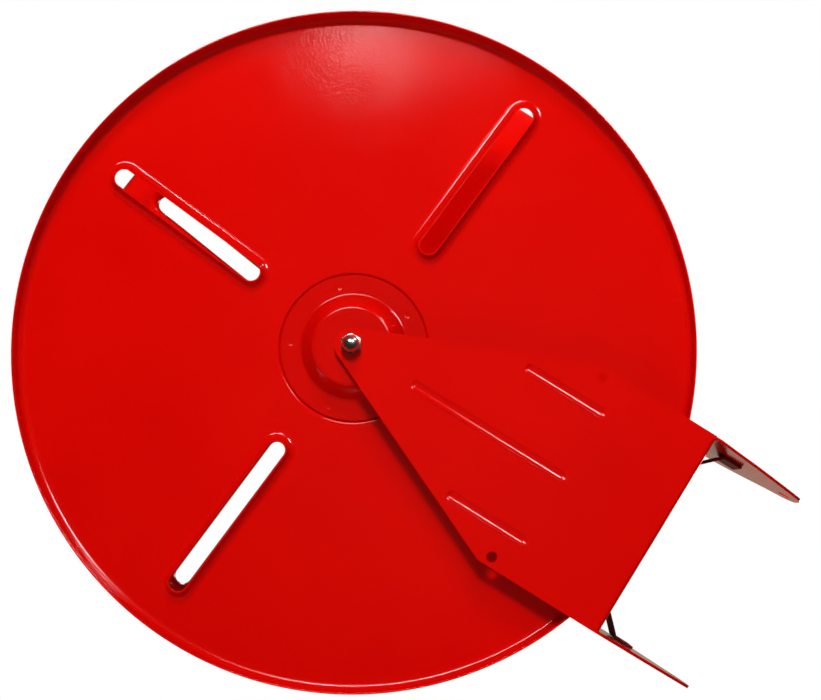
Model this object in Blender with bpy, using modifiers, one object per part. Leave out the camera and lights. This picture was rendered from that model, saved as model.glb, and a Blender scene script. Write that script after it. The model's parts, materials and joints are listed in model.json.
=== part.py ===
"""Fire hose reel: an empty pressed-steel drum that turns on a hollow spindle, on a swinging bracket.

World frame, metres, +Z up. The origin is on the vertical pivot line of the bracket's two lugs, half way
between them and level with the drum's axle. The drum lies towards -X and its front looks along -Y.

Every piece is drawn in the reel's own frame, in millimetres turned to metres by MM: u runs along the
bracket's arm from the axle, v runs down, and w is the depth behind the front disc's rim.
"""

import math

import bmesh
import bpy
from mathutils import Matrix, Vector

MM = 0.001
COLLECTION = "fire_hose_reel"

# Drum
DISC_RADIUS = 287.5
DRUM_WIDTH = 190.0
DISC_SHEET = 1.5
LIP_DEPTH = 17.0
LIP_FILLET = 6.0
RECESS_RADIUS = 62.4
RECESS_DEPTH = 2.5
DISC_HOLE = 28.0
CORE_RADIUS = 97.5
CORE_SHEET = 1.5
CORE_FLANGE = 11.0
GAP = 0.3

# Slots, each with a flared edge that stands towards the outside of the drum
SLOT_ENDS = (108.0, 244.5)
FRONT_SLOT_ANGLES = [4.5 + 90.0 * k for k in range(4)]
SLOT_HALF_WIDTH = 7.6
FLARE_BEND = 7.5

# The rear disc sits a little further round, and its lower slot is pressed off the radius
REAR_SLOT_ANGLES = [angle + 2.5 for angle in FRONT_SLOT_ANGLES]
LOWER_REAR_SLOT = ((-26.0, 113.2), (-37.8, 259.2))

# Hub plate
HUB_SHEET = 2.0
HUB_RADIUS = 61.8
BOSS_BASE = 45.2
BOSS_TOP = 33.4
BOSS_FACE = -2.6
WELD_ANGLES = [9.0 + 72.0 * k for k in range(5)]
WELD_RADIUS = 53.5
WELD_DEPTH = 0.4

# Bracket
ARM_FRONT = -10.0
SHEET = 2.5
ARM_TIP_RADIUS = 14.5
SHOULDER = (181.9, 95.2)
FOLD = (296.4, 94.7)
ARM_HOLE = (190.6, 87.0)
ARM_HOLE_RADIUS = 4.4
AXLE_HOLE_RADIUS = 5.3
RIB_END = 204.5
RIB_STARTS = [(136.4, -61.6), (63.6, 0.0), (136.4, 61.6)]
RIB_HALF_WIDTH = 3.4
RIB_DEPTH = 2.0
CROSS_END = 148.0
PIVOT = (383.5, 80.0)
PIVOT_HOLE_RADIUS = 5.5
BEND_RADIUS = 3.5
BRACE_REACH = 21.5
BRACE_FOOT = 17.0
BRACE_WIDTH = 38.0
BRACE_DEPTH = 76.0
BRACE_SHEET = 2.5
NUT_ACROSS_FLATS = 16.0
NUT_TURN = 28.1

# Spindle and what turns on it
STUD_RADIUS = 4.9
COLLAR_RADIUS = 13.6
FRONT_JOURNAL = 8.0
BODY_RADIUS = 12.0
REAR_JOURNAL = 14.0
THREAD_RADIUS = 13.2
WATERWAY_RADIUS = 7.5
RUNNING_CLEARANCE = 0.09
CROSS_HOLE_DEPTH = 95.0
SEAL_DEPTHS = (76.0, 114.0)
SEAL_SECTION = 1.25
HOUSING_ENDS = (66.0, 124.0)
HOUSING_RADIUS = 20.0

# Water outlet, on a radius of the drum that the hose tail leaves square to
OUTLET_ANGLE = 49.0
PIPE_RADIUS = 8.8
PIPE_BORE = 6.0
ELBOW_RADIUS = 113.0

# Inlet elbow
INLET_DEPTH = 236.0
INLET_DROP = 58.0

DISC_STEPS = 48
TURN_STEPS = 32

REEL = Matrix.Translation((-PIVOT[0] * MM, -PIVOT[1] * MM, 0)) @ Matrix.Rotation(-math.pi / 2, 4, "X")


def clear_scene():
    for old in list(bpy.data.objects):
        bpy.data.objects.remove(old)


def new_collection(name):
    made = bpy.data.collections.new(name)
    bpy.context.scene.collection.children.link(made)
    return made


def new_material(name, colour, roughness, metallic):
    made = bpy.data.materials.new(name)
    made.use_nodes = True
    made.diffuse_color = (*colour, 1)
    shader = made.node_tree.nodes["Principled BSDF"]
    shader.inputs["Base Color"].default_value = (*colour, 1)
    shader.inputs["Roughness"].default_value = roughness
    shader.inputs["Metallic"].default_value = metallic
    return made


clear_scene()
PARTS = new_collection(COLLECTION)
CUTTERS = new_collection("cutters")

RED = new_material("red_powder_coat", (0.62, 0.008, 0.003), 0.25, 0.0)
BRASS = new_material("brass", (0.72, 0.52, 0.22), 0.3, 1.0)
STEEL = new_material("stainless", (0.66, 0.66, 0.66), 0.2, 1.0)
ZINC = new_material("zinc_steel", (0.6, 0.61, 0.62), 0.4, 1.0)
NYLON = new_material("nylon", (0.8, 0.78, 0.7), 0.45, 0.0)
RUBBER = new_material("rubber", (0.02, 0.02, 0.02), 0.6, 0.0)
FIBRE = new_material("fibre", (0.35, 0.12, 0.06), 0.8, 0.0)


def frame_empty(name):
    made = bpy.data.objects.new(name, None)
    made.matrix_world = REEL
    PARTS.objects.link(made)
    return made


DRUM = frame_empty("drum_axle")
BRACKET = frame_empty("bracket_frame")


def add_object(name, mesh, material, parent):
    made = bpy.data.objects.new(name, mesh)
    PARTS.objects.link(made)
    made.parent = parent
    if material:
        mesh.materials.append(material)
    return made


def from_bmesh(name, bm, material=None, parent=None):
    bmesh.ops.recalc_face_normals(bm, faces=bm.faces)
    mesh = bpy.data.meshes.new(name)
    bm.to_mesh(mesh)
    bm.free()
    mesh.shade_smooth()
    mesh.set_sharp_from_angle(angle=math.radians(35))
    return add_object(name, mesh, material, parent)


def boolean(target, tool, operation):
    """The tool is hidden among the cutters, and acts on the target through a modifier."""
    made = target.modifiers.new(tool.name, "BOOLEAN")
    made.operation = operation
    made.object = tool
    PARTS.objects.unlink(tool)
    CUTTERS.objects.link(tool)
    tool.hide_render = True
    tool.display_type = "WIRE"


def cut(target, *tools):
    for tool in tools:
        boolean(target, tool, "DIFFERENCE")


def join(target, *tools):
    for tool in tools:
        boolean(target, tool, "UNION")


def arc(centre, radius, start, end, steps):
    """Points round a centre from one angle to another, in degrees."""
    angles = [math.radians(start + (end - start) * i / steps) for i in range(steps + 1)]
    return [(centre[0] + radius * math.cos(a), centre[1] + radius * math.sin(a)) for a in angles]


def turned(name, profile, material, parent, steps=TURN_STEPS, solid=False):
    """Turns (radius, depth) points round the axle: a closed loop, or a solid that starts and ends on it."""
    loop = profile + profile[:1]
    area = sum(a[0] * b[1] - b[0] * a[1] for a, b in zip(loop, loop[1:]))
    if area > 0:
        profile = profile[::-1]
    edges = [(i, i + 1) for i in range(len(profile) - 1)]
    if not solid:
        edges.append((len(profile) - 1, 0))
    mesh = bpy.data.meshes.new(name)
    mesh.from_pydata([(r * MM, 0, w * MM) for r, w in profile], edges, [])
    made = add_object(name, mesh, material, parent)
    screw = made.modifiers.new("turn", "SCREW")
    screw.steps = screw.render_steps = steps
    screw.use_merge_vertices = True
    screw.merge_threshold = 1e-5
    screw.use_smooth_shade = True
    return made


def ring(name, inner, outer, low, high, material, parent, steps=TURN_STEPS):
    return turned(name, [(inner, low), (outer, low), (outer, high), (inner, high)], material, parent, steps)


def shaft(name, start, end, radius, material=None, parent=None, end_radius=None, sides=TURN_STEPS):
    """A cylinder or cone from one point to another, or a prism where it has few sides."""
    low, high = Vector(start) * MM, Vector(end) * MM
    axis = high - low
    place = Matrix.Translation((low + high) / 2) @ axis.to_track_quat("Z", "Y").to_matrix().to_4x4()
    bm = bmesh.new()
    bmesh.ops.create_cone(
        bm, cap_ends=True, segments=sides, radius1=radius * MM,
        radius2=(radius if end_radius is None else end_radius) * MM, depth=axis.length, matrix=place,
    )
    return from_bmesh(name, bm, material, parent)


def ball(name, centre, radius, parent, sides=TURN_STEPS):
    bm = bmesh.new()
    place = Matrix.Translation(Vector(centre) * MM)
    bmesh.ops.create_uvsphere(bm, u_segments=sides, v_segments=sides // 2, radius=radius * MM, matrix=place)
    return from_bmesh(name, bm, None, parent)


def stadium(name, start, end, levels, parent, steps=5):
    """A lofted bar with round ends: levels gives (half width, depth) from one face to the other."""
    angle = math.degrees(math.atan2(end[1] - start[1], end[0] - start[0]))
    bm = bmesh.new()
    loops = []
    for half, depth in levels:
        outline = arc(start, half, angle + 90, angle + 270, steps)
        outline += arc(end, half, angle - 90, angle + 90, steps)
        loops.append([bm.verts.new((x * MM, y * MM, depth * MM)) for x, y in outline])
    for low, high in zip(loops, loops[1:]):
        for i in range(len(low)):
            j = (i + 1) % len(low)
            bm.faces.new((low[i], low[j], high[j], high[i]))
    bm.faces.new(loops[0])
    bm.faces.new(loops[-1])
    return from_bmesh(name, bm, None, parent)


def plate(name, outline, low, high, material, parent):
    """A flat outline thickened from one depth to another."""
    curve = bpy.data.curves.new(name, "CURVE")
    curve.dimensions = "2D"
    curve.fill_mode = "BOTH"
    curve.extrude = (high - low) / 2 * MM
    spline = curve.splines.new("POLY")
    spline.points.add(len(outline) - 1)
    for point, (x, y) in zip(spline.points, outline):
        point.co = (x * MM, y * MM, 0, 1)
    spline.use_cyclic_u = True
    drawn = bpy.data.objects.new(name + "_curve", curve)
    PARTS.objects.link(drawn)
    bpy.context.view_layer.update()
    graph = bpy.context.evaluated_depsgraph_get()
    mesh = bpy.data.meshes.new_from_object(drawn.evaluated_get(graph))
    bpy.data.objects.remove(drawn)
    bm = bmesh.new()
    bm.from_mesh(mesh)
    bpy.data.meshes.remove(mesh)
    bmesh.ops.remove_doubles(bm, verts=bm.verts, dist=1e-6)
    bmesh.ops.translate(bm, verts=bm.verts, vec=(0, 0, (low + high) / 2 * MM))
    return from_bmesh(name, bm, material, parent)


def polar(radius, angle):
    return radius * math.cos(math.radians(angle)), radius * math.sin(math.radians(angle))


def outlet_point(radius, along=0.0, depth=CROSS_HOLE_DEPTH):
    """A point on the water outlet's radius, or moved sideways from it in the drum's plane."""
    x, y = polar(radius, OUTLET_ANGLE)
    side = polar(along, OUTLET_ANGLE + 90)
    return x + side[0], y + side[1], depth


def pressed_disc(name, slots, depth_of):
    """Web, rim lip, hub recess and four flared slots. depth_of turns the disc to face front or rear."""
    web, back = LIP_DEPTH, LIP_DEPTH + DISC_SHEET
    seat = web + RECESS_DEPTH
    inner = DISC_RADIUS - DISC_SHEET
    fillet = arc((inner - LIP_FILLET, web - LIP_FILLET), LIP_FILLET, 90, 0, 2)
    outer = LIP_FILLET + DISC_SHEET
    heel = arc((DISC_RADIUS - outer, back - outer), outer, 0, 90, 2)
    profile = [(DISC_HOLE, seat), (RECESS_RADIUS, seat), (RECESS_RADIUS + 2.0, web)]
    profile += fillet + [(inner, 0.3), (inner + 0.4, 0), (DISC_RADIUS - 0.4, 0), (DISC_RADIUS, 0.3)] + heel
    profile += [(RECESS_RADIUS + 3.0, back), (RECESS_RADIUS + 1.0, seat + DISC_SHEET)]
    profile += [(DISC_HOLE, seat + DISC_SHEET)]
    disc = turned(name, [(r, depth_of(w)) for r, w in profile], RED, DRUM, DISC_STEPS)
    for k, line in enumerate(slots):
        top = web - FLARE_BEND
        wide = SLOT_HALF_WIDTH + FLARE_BEND + DISC_SHEET
        shapes = {
            "flare": [(wide, web + 0.7), *arc((wide, top), FLARE_BEND, 90, 150, 2), (wide - FLARE_BEND, top)],
            "hollow": [(wide - 0.3, back + 0.5), *arc((wide, top), FLARE_BEND + DISC_SHEET, 120, 168, 2)],
            "slot": [(SLOT_HALF_WIDTH, back + 5), (SLOT_HALF_WIDTH, top - 5)],
        }
        for kind, levels in shapes.items():
            tool = stadium(f"{name}_{kind}_{k}", *line, [(h, depth_of(w)) for h, w in levels], DRUM)
            (join if kind == "flare" else cut)(disc, tool)
    return disc


def hub_plate(name, hole, depth_of):
    """The dished plate in the disc's recess, whose raised boss holds a bearing bush."""
    base = LIP_DEPTH + RECESS_DEPTH - GAP
    face = base - HUB_SHEET
    profile = [
        (hole, BOSS_FACE), (BOSS_TOP - 1.5, BOSS_FACE), (BOSS_TOP, BOSS_FACE + 1.0),
        (BOSS_BASE - 1.0, face - 1.5), (BOSS_BASE + 1.5, face), (HUB_RADIUS, face),
        (HUB_RADIUS, base), (BOSS_BASE - 0.5, base), (BOSS_BASE - 3.2, base - 1.5),
        (BOSS_TOP - 2.2, BOSS_FACE + HUB_SHEET), (hole, BOSS_FACE + HUB_SHEET),
    ]
    made = turned(name, [(r, depth_of(w)) for r, w in profile], RED, DRUM)
    for k, angle in enumerate(WELD_ANGLES):
        x, y = polar(WELD_RADIUS, angle)
        above, below = (x, y, depth_of(face - 1)), (x, y, depth_of(face + WELD_DEPTH))
        cut(made, shaft(f"{name}_weld_{k}", above, below, 4.0, parent=DRUM, end_radius=1.2, sides=8))
    return made


def drum_core():
    low, high = LIP_DEPTH + DISC_SHEET + GAP, DRUM_WIDTH - LIP_DEPTH - DISC_SHEET - GAP
    inner, lip = CORE_RADIUS - CORE_SHEET, CORE_RADIUS - CORE_FLANGE
    core = turned("drum_core", [
        (lip, low), (CORE_RADIUS, low), (CORE_RADIUS, high), (lip, high),
        (lip, high - CORE_SHEET), (inner, high - CORE_SHEET), (inner, low + CORE_SHEET),
        (lip, low + CORE_SHEET),
    ], RED, DRUM, DISC_STEPS)
    cut(core, shaft("core_outlet", outlet_point(80), outlet_point(110), 13.0, parent=DRUM))
    return core


def bush(name, journal, tube, flange, faces):
    """A flanged bush: faces gives the depths of its inner end, the flange's back and the flange's face."""
    end, back, face = faces
    bore = journal + RUNNING_CLEARANCE
    profile = [(bore, end), (tube, end), (tube, back), (flange, back), (flange, face), (bore, face)]
    return turned(name, profile, NYLON, DRUM)


def outlet_shaft(name, start, end, radius, material=None, sides=24):
    """A cylinder or prism along the water outlet's radius."""
    return shaft(name, outlet_point(start), outlet_point(end), radius, material, DRUM, sides=sides)


def swivel_housing():
    """The brass housing that turns with the drum round the spindle and takes the water out sideways."""
    bore = BODY_RADIUS + RUNNING_CLEARANCE
    low, high = HOUSING_ENDS
    mid = CROSS_HOLE_DEPTH
    body = turned("swivel_housing", [
        (bore, low), (HOUSING_RADIUS - 2, low), (HOUSING_RADIUS, low + 2), (HOUSING_RADIUS, high - 2),
        (HOUSING_RADIUS - 2, high), (bore, high), (bore, mid + 9), (bore + 3, mid + 7), (bore + 3, mid - 7),
        (bore, mid - 9),
    ], BRASS, DRUM)
    join(body, outlet_shaft("outlet_boss", 17, 34, 13.0))
    cut(body, outlet_shaft("outlet_port", 13.5, 36, PIPE_RADIUS + GAP))
    return body


def outlet_parts():
    """Pipe, lock nut, grommet and hose-tail elbow that lead the water from the housing to the hose."""
    pipe = outlet_shaft("outlet_pipe", 16.5, 108, PIPE_RADIUS, BRASS)
    cut(pipe, outlet_shaft("outlet_pipe_bore", 14, 112, PIPE_BORE))

    nut = outlet_shaft("outlet_lock_nut", 34.4, 42, 14.0, BRASS, 6)
    cut(nut, outlet_shaft("lock_nut_bore", 30, 46, PIPE_RADIUS + GAP))

    grommet = turned("outlet_grommet", [
        (PIPE_RADIUS + GAP, 91.5), (17.0, 91.5), (17.5, 92.5), (17.5, 93.7), (12.6, 93.9), (12.6, 98.0),
        (17.0, 98.2), (16.5, 99.6), (PIPE_RADIUS + GAP, 99.6),
    ], RUBBER, DRUM, 24)
    grommet.matrix_local = outlet_direction(0, 0)

    elbow = outlet_shaft("hose_tail_elbow", 100.4, ELBOW_RADIUS, 12.4, BRASS)
    join(elbow, ball("elbow_corner", outlet_point(ELBOW_RADIUS), 13.2, DRUM, sides=16))
    tail = turned("elbow_tail", [
        (0, 0), (10.6, 0), (10.6, 16), (12.6, 16), (12.6, 20), (9.4, 20), (9.4, 26), (10.4, 34),
        (9.4, 34.5), (10.4, 43), (9.4, 43.5), (8.6, 54), (0, 54),
    ], None, DRUM, 20, solid=True)
    tail.matrix_local = outlet_direction(ELBOW_RADIUS, 90)
    join(elbow, tail)
    cut(
        elbow,
        outlet_shaft("elbow_socket", 98, 108.3, PIPE_RADIUS + GAP),
        outlet_shaft("elbow_bore", 106, ELBOW_RADIUS + 2, PIPE_BORE),
        shaft("tail_bore", outlet_point(ELBOW_RADIUS, -2), outlet_point(ELBOW_RADIUS, 60), PIPE_BORE + 0.5,
              parent=DRUM, sides=24),
    )


def outlet_direction(radius, turn):
    """A matrix whose Z leaves the axle along the outlet's radius, turned in the drum's plane."""
    axis = Vector((*polar(1, OUTLET_ANGLE + turn), 0))
    turn = axis.to_track_quat("Z", "Y").to_matrix().to_4x4()
    return Matrix.Translation(Vector(outlet_point(radius)) * MM) @ turn


def lug_outline(start, low):
    """Side view of a lug as (u, w), from its bend at the cross plate round its outer end."""
    fold = FOLD[0]
    near = [(start, low), (fold + 5.5, low), (fold + 22, 4.6), (fold + 44, 17.5), (fold + 66, 33.5)]
    end = arc((375.5, 69.3), 20, -50, 0, 4) + arc((369.5, 82), 26, 0, 50, 4)
    far = [(fold + 76, 110.5), (fold + 58, 126), (fold + 42, 138), (fold + 30, 145), (fold + 16, CROSS_END)]
    far.append((start, CROSS_END))
    return near + end + far


def arm_outline(end, relief):
    """The arm's plate: a round end at the axle, straight edges to the shoulders, level sides to the fold."""
    reach = math.hypot(*SHOULDER)
    lean = math.degrees(math.atan2(SHOULDER[1], SHOULDER[0]) + math.acos(ARM_TIP_RADIUS / reach))
    tip = arc((0, 0), ARM_TIP_RADIUS, lean, 360 - lean, 14)
    half = [SHOULDER, (end, FOLD[1]), (end, relief)]
    return tip + [(u, -v) for u, v in half] + half[::-1]


def bracket_surface():
    """The bracket's middle surface: arm, fold, cross plate, and a bent lug at each side."""
    bm = bmesh.new()
    corners = {}

    def face(points):
        keys = [tuple(round(c, 3) for c in p) for p in points]
        for key in keys:
            if key not in corners:
                corners[key] = bm.verts.new(Vector(key) * MM)
        bm.faces.new([corners[key] for key in keys])

    front = ARM_FRONT + SHEET / 2
    cross, side = FOLD[0] - SHEET / 2, FOLD[1] - SHEET / 2
    bend = BEND_RADIUS - SHEET / 2
    edge, low = side - bend, front + bend
    face([(u, v, front) for u, v in arm_outline(cross - bend, edge)])
    fold = arc((cross - bend, low), bend, -90, 0, 4)
    for (u, w), (u2, w2) in zip(fold, fold[1:] + [(cross, CROSS_END)]):
        face([(u, -edge, w), (u, edge, w), (u2, edge, w2), (u2, -edge, w2)])
    for sign in (1, -1):
        turn = arc((cross + bend, edge), bend, 180, 90, 4)
        turn = [(u, sign * v) for u, v in turn]
        for near, far in zip(turn, turn[1:]):
            face([(*near, low), (*far, low), (*far, CROSS_END), (*near, CROSS_END)])
        face([(u, sign * side, w) for u, w in lug_outline(cross + bend, low)])
    return bm


def swing_bracket():
    arm = from_bmesh("swing_bracket", bracket_surface(), RED, BRACKET)
    sheet = arm.modifiers.new("sheet", "SOLIDIFY")
    sheet.thickness = SHEET * MM
    sheet.offset = 0
    sheet.use_even_offset = True
    for k, (u, v, radius) in enumerate([
        (0, 0, AXLE_HOLE_RADIUS), (*ARM_HOLE, ARM_HOLE_RADIUS), (ARM_HOLE[0], -ARM_HOLE[1], ARM_HOLE_RADIUS)
    ]):
        near, far = (u, v, ARM_FRONT - 4), (u, v, ARM_FRONT + 8)
        cut(arm, shaft(f"arm_hole_{k}", near, far, radius, parent=BRACKET, sides=20))
    u, w = PIVOT
    cut(arm, shaft("pivot_holes", (u, -120, w), (u, 120, w), PIVOT_HOLE_RADIUS, parent=BRACKET, sides=24))
    rear = ARM_FRONT + SHEET
    for k, start in enumerate(RIB_STARTS):
        line = start, (RIB_END, start[1])
        half = RIB_HALF_WIDTH
        bulge = [(half, rear - 0.7), (half, rear), (half - 1.6, rear + RIB_DEPTH)]
        groove = [(half - 0.2, ARM_FRONT - 0.5), (half - 2.2, ARM_FRONT + RIB_DEPTH)]
        join(arm, stadium(f"rib_{k}", *line, bulge, BRACKET, 4))
        cut(arm, stadium(f"rib_groove_{k}", *line, groove, BRACKET, 4))
    return arm


def brace(name, sign):
    """A bent strap from a lug's inner face at 45 degrees down to the cross plate."""
    face = FOLD[1] - SHEET - GAP
    start = FOLD[0] + GAP
    reach, foot, thick = BRACE_REACH, BRACE_FOOT, BRACE_SHEET
    slant = thick * math.tan(math.radians(22.5))
    outline = [
        (start + reach, face), (start + reach + foot, face),
        (start + reach + foot, face - thick), (start + reach + slant, face - thick),
        (start + thick, face - reach - slant), (start + thick, face - reach - foot),
        (start, face - reach - foot), (start, face - reach),
    ]
    outline = [(u, sign * v) for u, v in outline]
    low = BRACE_DEPTH - BRACE_WIDTH / 2
    return plate(name, outline, low, low + BRACE_WIDTH, RED, BRACKET)


def spindle():
    """The hollow spindle: stud, collar and front journal, sealed middle, rear journal and inlet thread."""
    profile = [(0, -24.0), (STUD_RADIUS, -24.0), (STUD_RADIUS, -5.9)]
    profile += [(COLLAR_RADIUS, -5.9), (COLLAR_RADIUS, -4.4), (FRONT_JOURNAL, -4.4), (FRONT_JOURNAL, 20)]
    profile += [(BODY_RADIUS, 20)]
    groove = BODY_RADIUS - 2.6
    for depth in SEAL_DEPTHS:
        profile += [(BODY_RADIUS, depth - 1.6), (groove, depth - 1.6), (groove, depth + 1.6),
                    (BODY_RADIUS, depth + 1.6)]
    profile += [(BODY_RADIUS, 150), (REAR_JOURNAL, 150), (REAR_JOURNAL, 199.2), (13.0, 199.2), (13.0, 201.2),
                (REAR_JOURNAL, 201.2), (REAR_JOURNAL, 204), (THREAD_RADIUS, 204), (THREAD_RADIUS, 222),
                (WATERWAY_RADIUS, 222), (WATERWAY_RADIUS, 84), (0, 80)]
    body = turned("spindle", profile, BRASS, BRACKET, solid=True)
    mid = CROSS_HOLE_DEPTH
    cut(body, shaft("spindle_cross_hole", (-16, 0, mid), (16, 0, mid), 5.0, parent=BRACKET, sides=16),
        shaft("spindle_cross_hole_2", (0, -16, mid), (0, 16, mid), 5.0, parent=BRACKET, sides=16))
    return body


def dome_nut():
    base = ARM_FRONT - GAP
    flats = base - 8.0
    across = NUT_ACROSS_FLATS / math.cos(math.radians(30)) / 2
    nut = shaft("dome_nut", (0, 0, base), (0, 0, flats), across, STEEL, BRACKET, sides=6)
    round_nut = turned("nut_chamfer", [
        (0, base), (across - 0.9, base), (across, base - 0.8), (across, flats + 0.9),
        (across - 1.6, flats), (0, flats),
    ], None, BRACKET, solid=True)
    boolean(nut, round_nut, "INTERSECT")
    dome = [(r, w) for w, r in arc((flats - 2.8, 0), 7.2, 90, 180, 6)]
    dome = [(0, flats + 2), (7.2, flats + 2)] + dome[:-1] + [(0, flats - 10)]
    join(nut, turned("nut_dome", dome, None, BRACKET, solid=True))
    nut.matrix_local = Matrix.Rotation(math.radians(NUT_TURN), 4, "Z")
    cut(nut, shaft("nut_thread", (0, 0, base + 2), (0, 0, -24.6), STUD_RADIUS + GAP, None, BRACKET, sides=24))
    return nut


def retaining_ring():
    """An open ring in the spindle's groove, its gap at the top."""
    made = ring("retaining_ring", 13.3, 18.0, 199.5, 200.9, ZINC, BRACKET)
    cut(made, shaft("ring_gap", (0, -10, 200.2), (0, -22, 200.2), 3.5, parent=BRACKET, sides=4))
    return made


def inlet_elbow():
    """Cast brass elbow on the spindle's rear end, turned down to the water supply."""
    corner = (0, 0, INLET_DEPTH)

    def along(name, start, end, radius):
        return shaft(name, (0, 0, start), (0, 0, end), radius, BRASS, BRACKET, sides=24)

    def down(name, start, end, radius, sides=24):
        low, high = (0, start, INLET_DEPTH), (0, end, INLET_DEPTH)
        return shaft(name, low, high, radius, BRASS, BRACKET, sides=sides)

    body = along("inlet_elbow", 206.2, INLET_DEPTH, 17.5)
    join(
        body,
        ball("inlet_corner", corner, 18.6, BRACKET, sides=24),
        down("inlet_leg", 0, 38, 16.0),
        down("inlet_hex", 32, 42, 20.8, 6),
        down("inlet_thread", 36, INLET_DROP, 16.6),
    )
    cut(
        body,
        along("inlet_socket", 200, 223.5, THREAD_RADIUS + GAP),
        along("inlet_passage", 220, INLET_DEPTH + 3, 9.0),
        down("inlet_bore", -2, INLET_DROP + 5, 10.5),
    )
    return body


def seal_ring(name, depth):
    centre = BODY_RADIUS - SEAL_SECTION
    section = arc((centre, depth), SEAL_SECTION, 0, 360, 6)[:-1]
    return turned(name, section, RUBBER, BRACKET, 24)


def build_drum():
    front = lambda w: w
    rear = lambda w: DRUM_WIDTH - w
    front_slots = [[polar(radius, angle) for radius in SLOT_ENDS] for angle in FRONT_SLOT_ANGLES]
    rear_slots = [[polar(radius, angle) for radius in SLOT_ENDS] for angle in REAR_SLOT_ANGLES]
    rear_slots[1] = LOWER_REAR_SLOT
    pressed_disc("front_disc", front_slots, front)
    pressed_disc("rear_disc", rear_slots, rear)
    hub_plate("front_hub_plate", 11.3, front)
    hub_plate("rear_hub_plate", 16.8, rear)
    drum_core()
    face = BOSS_FACE - GAP
    bush("front_bush", FRONT_JOURNAL, 11.0, 13.4, (12.0, face, face - 1.2))
    bush("rear_bush", REAR_JOURNAL, 16.5, 21.0, (178.0, DRUM_WIDTH - face, DRUM_WIDTH - face + 1.4))
    swivel_housing()
    outlet_parts()


def build_bracket():
    swing_bracket()
    brace("upper_brace", -1)
    brace("lower_brace", 1)
    spindle()
    dome_nut()
    ring("lock_washer", STUD_RADIUS + 0.4, 13.2, -7.2, -6.2, ZINC, BRACKET)
    seal_ring("front_o_ring", SEAL_DEPTHS[0])
    seal_ring("rear_o_ring", SEAL_DEPTHS[1])
    ring("friction_washer", REAR_JOURNAL + 0.4, 20.5, 194.6, 196.2, FIBRE, BRACKET)
    turned("disc_spring", [(14.4, 198.1), (19.6, 196.6), (19.6, 197.5), (14.4, 199.0)], ZINC, BRACKET)
    retaining_ring()
    ring("inlet_seal", THREAD_RADIUS + GAP, 17.4, 204.3, 205.9, FIBRE, BRACKET)
    inlet_elbow()


build_drum()
build_bracket()
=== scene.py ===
"""The looks of the empty fire hose reel: pressed-sheet surfaces, powder coat, studio light and camera.

Pieces are drawn in the reel's own frame, in millimetres and degrees: u runs along the bracket's arm from the
axle, v runs down, and w is the depth behind the front disc's rim. REEL turns that into the row's metres.
"""

import json
import math

import bmesh
import bpy
from mathutils import Matrix, Vector


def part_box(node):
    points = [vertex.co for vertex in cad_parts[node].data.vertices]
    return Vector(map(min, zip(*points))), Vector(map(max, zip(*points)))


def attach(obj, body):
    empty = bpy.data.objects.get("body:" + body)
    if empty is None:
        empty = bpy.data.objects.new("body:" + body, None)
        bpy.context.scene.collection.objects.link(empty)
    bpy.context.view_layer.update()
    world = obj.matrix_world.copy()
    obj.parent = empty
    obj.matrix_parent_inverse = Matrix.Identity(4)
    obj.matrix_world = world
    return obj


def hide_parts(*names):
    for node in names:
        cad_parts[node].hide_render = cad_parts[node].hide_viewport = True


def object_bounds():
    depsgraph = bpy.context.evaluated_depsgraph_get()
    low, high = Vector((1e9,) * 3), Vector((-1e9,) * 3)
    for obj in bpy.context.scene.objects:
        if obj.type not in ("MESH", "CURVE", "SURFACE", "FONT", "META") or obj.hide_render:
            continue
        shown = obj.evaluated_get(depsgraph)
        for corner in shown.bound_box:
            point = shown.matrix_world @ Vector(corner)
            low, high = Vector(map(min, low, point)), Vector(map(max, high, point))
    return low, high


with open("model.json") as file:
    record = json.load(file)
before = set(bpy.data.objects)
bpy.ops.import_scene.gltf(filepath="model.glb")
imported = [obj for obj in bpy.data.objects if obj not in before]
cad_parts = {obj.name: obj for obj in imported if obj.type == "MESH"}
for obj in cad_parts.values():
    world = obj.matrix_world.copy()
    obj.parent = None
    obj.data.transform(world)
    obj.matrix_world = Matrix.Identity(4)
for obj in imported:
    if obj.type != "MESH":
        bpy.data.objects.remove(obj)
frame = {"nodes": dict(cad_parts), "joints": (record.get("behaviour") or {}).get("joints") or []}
CAD_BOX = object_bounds()

MM = 0.001
AXLE = Vector(frame["joints"][0]["pos_m"])
FRONT_LOW, FRONT_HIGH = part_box("front_disc")
RIM_CENTRE = (AXLE.x, FRONT_LOW.y, AXLE.z)
REEL = Matrix.Translation(RIM_CENTRE) @ Matrix.Rotation(-math.pi / 2, 4, "X") @ Matrix.Scale(MM, 4)

# Sizes that the frame gives
DISC_RADIUS = (FRONT_HIGH.z - FRONT_LOW.z) / 2 / MM
DRUM_WIDTH = (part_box("rear_disc")[1].y - FRONT_LOW.y) / MM
ARM_FRONT = (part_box("swing_bracket")[0].y - FRONT_LOW.y) / MM

# The clearance between neighbouring pieces, and the number of steps that full rounds are drawn in
GAP = 0.3
ROUND_STEPS = 192
RIM_STEPS = 256
FRONT, REAR = "front", "rear"

# The view: the turn from the reel's frame to the camera's as an axis times an angle in radians, the axle's
# place before the camera, the lens and its sensor, and the direction of the view's level in the reel's frame
VIEW_TURN = (-0.0825, 0.0476, 0.5567)
VIEW_SHIFT = (-48.8, -3.55, 1300.0)
LENS = 68.115
SENSOR_WIDTH = 36
VIEW_LEVEL = -31.9

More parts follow.
